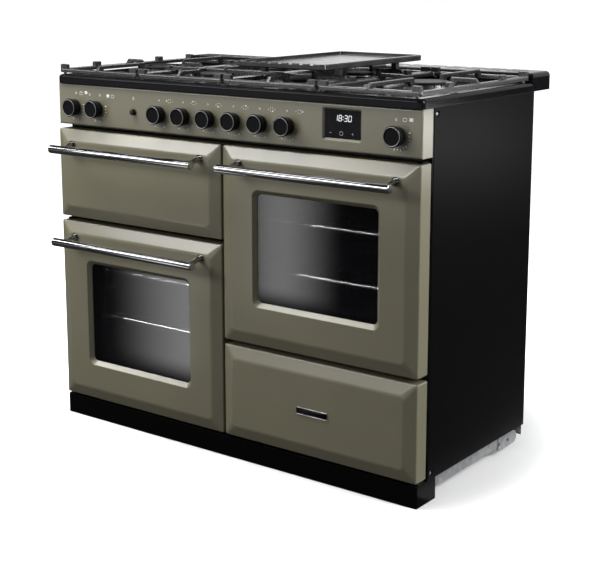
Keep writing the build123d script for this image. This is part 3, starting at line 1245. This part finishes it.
def oven_shelf(oven, rung):
    """Wire shelf on one pair of rungs: side wires, cross wires and a wire across the front and the back."""
    offset = LADDER_OFFSET + UPRIGHT_RADIUS + SHELF_RADIUS + 0.5
    x0, x1 = oven[0] + offset, oven[1] - offset
    y0, y1 = FRAME_BACK + SHELF_FRONT, LINER_BACK - SHELF_BACK
    z = rung_z(oven, rung) + RUNG_RADIUS + SHELF_RADIUS - 0.1
    shelf = bar_y(x0, y0, y1, z, SHELF_RADIUS)
    wires = [bar_y(x1, y0, y1, z, SHELF_RADIUS)]
    for i in range(1, SHELF_WIRES + 1):
        x = x0 + (x1 - x0) * i / (SHELF_WIRES + 1)
        wires.append(bar_y(x, y0, y1, z, SHELF_WIRE))
    for y in (y0 + 6, y1 - 6):
        wires.append(bar_x(x0 - 1, x1 + 1, y, z + SHELF_RADIUS + 1, SHELF_RADIUS - 0.4))
    return shelf + wires


def oven_elements():
    """Grill element and left oven element in their roofs, and the ring element round the fan."""
    elements = []
    for chamber, runs in ((GRILL, 4), (LEFT_OVEN, 2)):
        middle, _ = middle_of(chamber)
        z = chamber[3] - ELEMENT_DROP
        y0, y1 = FRAME_BACK + ELEMENT_INSET, LINER_BACK
        points = []
        for i in range(runs):
            x = middle + (i - (runs - 1) / 2) * ELEMENT_PITCH * 4 / runs
            ends = [(x, y1 if i in (0, runs - 1) else y1 - 40, z), (x, y0, z)]
            points += ends if i % 2 == 0 else ends[::-1]
        elements.append(tube(points, ELEMENT_PITCH / 3, ELEMENT_RADIUS))
    x, z = middle_of(RIGHT_OVEN)
    y = LINER_BACK - FAN_SPACE / 2
    ring = Plane(origin=(x, y, z), z_dir=(0, 1, 0)) * Torus(RING_RADIUS, ELEMENT_RADIUS)
    for side in (-1, 1):
        ring += bar_y(x + side * 12, y, LINER_BACK, z + (RING_RADIUS**2 - 144) ** 0.5, ELEMENT_RADIUS - 0.5)
    elements.append(ring)
    return elements


def fan_cover():
    """Pressed cover in front of the fan, with a ring of slots and open sides."""
    x, z = middle_of(RIGHT_OVEN)
    box = grown(RIGHT_OVEN, -FAN_COVER_INSET)
    y0 = LINER_BACK - FAN_SPACE
    cover = prism_y(y0, LINER_BACK, *box, OVEN_RADIUS)
    cover -= prism_y(y0 + SHEET, LINER_BACK + 1, *grown(box, -SHEET), OVEN_RADIUS - SHEET)
    slots = []
    for i in range(FAN_SLOTS):
        turn = Pos(x, 0, z) * Rot(0, 360 * i / FAN_SLOTS, 0)
        slots.append(turn * slab(FAN_RADIUS * 0.45, FAN_RADIUS * 0.9, y0 - 1, y0 + 3, -3, 3))
    for i in range(5):
        level = box[2] + 40 + (box[3] - box[2] - 80) * i / 4
        slots.append(slab(box[0] - 1, box[1] + 1, y0 + 12, LINER_BACK - 8, level - 8, level + 8))
    return cover - slots


def oven_fan():
    """Impeller with straight blades on a shaft through the oven's back wall."""
    x, z = middle_of(RIGHT_OVEN)
    y0 = LINER_BACK - FAN_SPACE + 8
    fan = bar_y(0, y0 + FAN_WIDTH - 2, y0 + FAN_WIDTH, 0, FAN_RADIUS)
    fan += bar_y(0, y0, y0 + FAN_WIDTH, 0, 12)
    for i in range(FAN_BLADES):
        fan += Rot(0, 360 * i / FAN_BLADES, 0) * slab(10, FAN_RADIUS - 2, y0, y0 + FAN_WIDTH - 1, -1, 1)
    fan += bar_y(0, y0 + FAN_WIDTH / 2, LINER_BACK + LINER_SHEET + 14, 0, FAN_SHAFT_RADIUS)
    return Pos(x, 0, z) * fan


def carriage_z():
    """Height of the grill carriage's side rods."""
    return GRILL[2] + GRILL_LEDGE_RISE + CARRIAGE_RADIUS + TOUCH_GAP


def grill_pan_box():
    """Grill pan as (left, right, front, back, bottom)."""
    y0 = FRAME_BACK + GRILL_PAN_FRONT
    bottom = carriage_z() + 2 * CARRIAGE_RADIUS + TOUCH_GAP
    return (GRILL[0] + GRILL_PAN_INSET, GRILL[1] - GRILL_PAN_INSET, y0, y0 + GRILL_PAN_DEPTH, bottom)


def grill_carriage():
    """Wire frame on the ledges that carries the grill pan, with a bar across the front to pull it."""
    _, _, y0, y1, _ = grill_pan_box()
    z = carriage_z()
    r = CARRIAGE_RADIUS
    x0, x1 = GRILL[0] + GRILL_LEDGE - r - 2, GRILL[1] - GRILL_LEDGE + r + 2
    frame = bar_y(x0, y0 - 8, y1, z, r)
    bars = [bar_y(x1, y0 - 8, y1, z, r)]
    bars += [bar_x(x0 - 2, x1 + 2, y, z + r + 1, r - 1) for y in (y0 - 4, y0 + 30, (y0 + y1) / 2, y1 - 30)]
    return frame + bars


def grill_pan():
    """Enamelled tray with a rolled rim."""
    x0, x1, y0, y1, z0 = grill_pan_box()
    z1 = z0 + GRILL_PAN_HEIGHT
    pan = plate_z(z0, z1, x0, x1, y0, y1, GRILL_PAN_RADIUS)
    rim = GRILL_PAN_RIM
    pan += plate_z(z1 - SHEET, z1, x0 - rim, x1 + rim, y0 - rim, y1 + rim, GRILL_PAN_RADIUS + rim)
    inner = (x0 + SHEET, x1 - SHEET, y0 + SHEET, y1 - SHEET)
    return pan - plate_z(z0 + SHEET, z1 + 1, *inner, GRILL_PAN_RADIUS - SHEET)


def grill_trivet():
    """Wire grid that stands in the grill pan."""
    x0, x1, y0, y1, z0 = grill_pan_box()
    floor = z0 + SHEET
    z = z0 + GRILL_PAN_HEIGHT - TRIVET_DROP
    x0, x1, y0, y1 = x0 + TRIVET_INSET, x1 - TRIVET_INSET, y0 + TRIVET_INSET, y1 - TRIVET_INSET
    bars = (y0 + TRIVET_BAR_INSET, y1 - TRIVET_BAR_INSET)
    legs = (x0 + TRIVET_LEG_INSET, x1 - TRIVET_LEG_INSET)
    pitch = (x1 - x0 - 2 * TRIVET_WIRE_INSET) / (TRIVET_WIRES - 1)
    wires = [bar_x(x0, x1, y, z, TRIVET_BAR_RADIUS) for y in bars]
    for i in range(TRIVET_WIRES):
        x = x0 + TRIVET_WIRE_INSET + pitch * i
        wires.append(bar_y(x, y0, y1, z + TRIVET_WIRE_RISE, TRIVET_WIRE_RADIUS))
    wires += [bar_z(x, y, floor, z, TRIVET_WIRE_RADIUS) for x in legs for y in bars]
    return wires[0] + wires[1:]


# Write every node
save("base_frame", base_frame())
save("levelling_feet", *levelling_feet())
save("rear_rollers", *rear_rollers())
save("plinth", plinth())
save("side_panels", *side_panels())
save("back_panel", back_panel())
save("casing_screws", *casing_screws())
save("front_frame", *front_frame())

save("grill_door_skin", skin(GRILL_DOOR) - grill_slots(GRILL_DOOR))
save("grill_door_liner", grill_door_liner(GRILL_DOOR))
save("grill_door_handle", *handle(GRILL_DOOR))
for name, door in (("left", LEFT_DOOR), ("right", RIGHT_DOOR)):
    save(f"{name}_door_skin", oven_door_skin(door))
    save(f"{name}_door_liner", oven_door_liner(door))
    save(f"{name}_door_glass", *oven_door_glass(door))
    save(f"{name}_door_handle", *handle(door))
save("drawer_front", skin(DRAWER))
save("drawer_box", drawer_box())
save("drawer_rails", *drawer_rails())
save("door_hinges", *door_hinges())
save("oven_door_seals", *oven_door_seals())

save("control_panel", control_panel())
save("clock_display", clock_display())
for i, x in enumerate(HOB_KNOBS):
    save(f"hob_knob_{i + 1}", *knob(x))
for name, x in zip(("grill_knob", "left_oven_knob", "right_oven_knob"), OVEN_KNOBS):
    save(name, *knob(x))
save("light_button", light_button())
save("gas_taps", *gas_taps())
save("oven_switches", *oven_switches())
save("gas_pipework", *gas_pipework())

save("hotplate", hotplate())
save("flue_trim", flue_trim())
save("burner_heads", *burner_heads())
save("burner_caps", *burner_caps())
save("spark_electrodes", *spark_electrodes())
for column in range(4):
    save(f"pan_support_{column + 1}", pan_support(column))
save("griddle", griddle())

save("grill_liner", *grill_liner())
save("left_oven_liner", *left_oven_liner())
save("right_oven_liner", *right_oven_liner())
save("shelf_runners", *shelf_runners())
shelves = [oven_shelf(LEFT_OVEN, rung) for rung in LEFT_SHELVES]
shelves += [oven_shelf(RIGHT_OVEN, rung) for rung in RIGHT_SHELVES]
save("oven_shelves", *shelves)
save("oven_elements", *oven_elements())
save("fan_cover", fan_cover())
save("oven_fan", oven_fan())
save("grill_carriage", grill_carriage())
save("grill_pan", grill_pan())
save("grill_trivet", grill_trivet())
